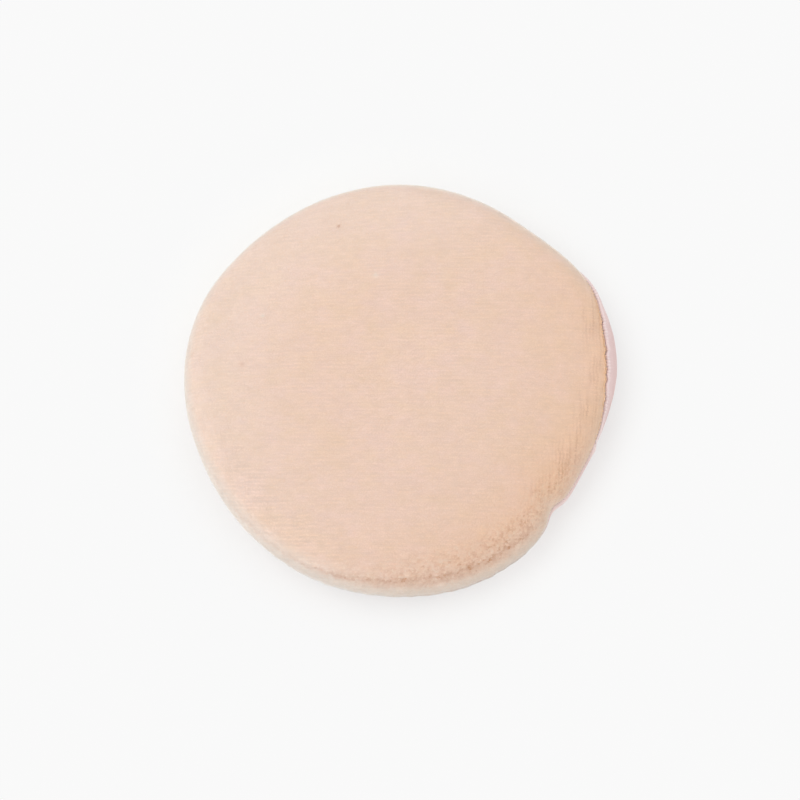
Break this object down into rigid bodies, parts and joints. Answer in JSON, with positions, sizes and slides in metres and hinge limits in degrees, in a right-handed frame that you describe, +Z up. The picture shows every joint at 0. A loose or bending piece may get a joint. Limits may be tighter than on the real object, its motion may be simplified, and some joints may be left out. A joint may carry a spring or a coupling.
{
  "type": "powder puff",
  "caption": "Round velour powder puff with a satin back, a foam filling and a ribbon finger band sewn across the back.",
  "frame": {"origin": "on the surface that the puff lies on, under the middle of the pad, on the underside of the finger band", "axes": "+Z up out of the velour face, X along the finger band from its plain end to its notched end at +X, Y along the finger gap"},
  "size_m": [0.059, 0.0587, 0.013],
  "materials": {
    "velour": "matte cut pile, peach",
    "satin": "pink satin weave with a soft sheen",
    "foam": "fine open-cell foam, matte",
    "ribbon": "satin ribbon with woven edges",
    "thread": "spun sewing thread, matte"
  },
  "bodies": {
    "root": {"face_cover": "velour", "back_cover": "satin", "foam_core": "foam", "finger_band": "ribbon", "needle_thread": "thread", "bobbin_thread": "thread", "closing_thread": "thread"}
  },
  "joints": []
}
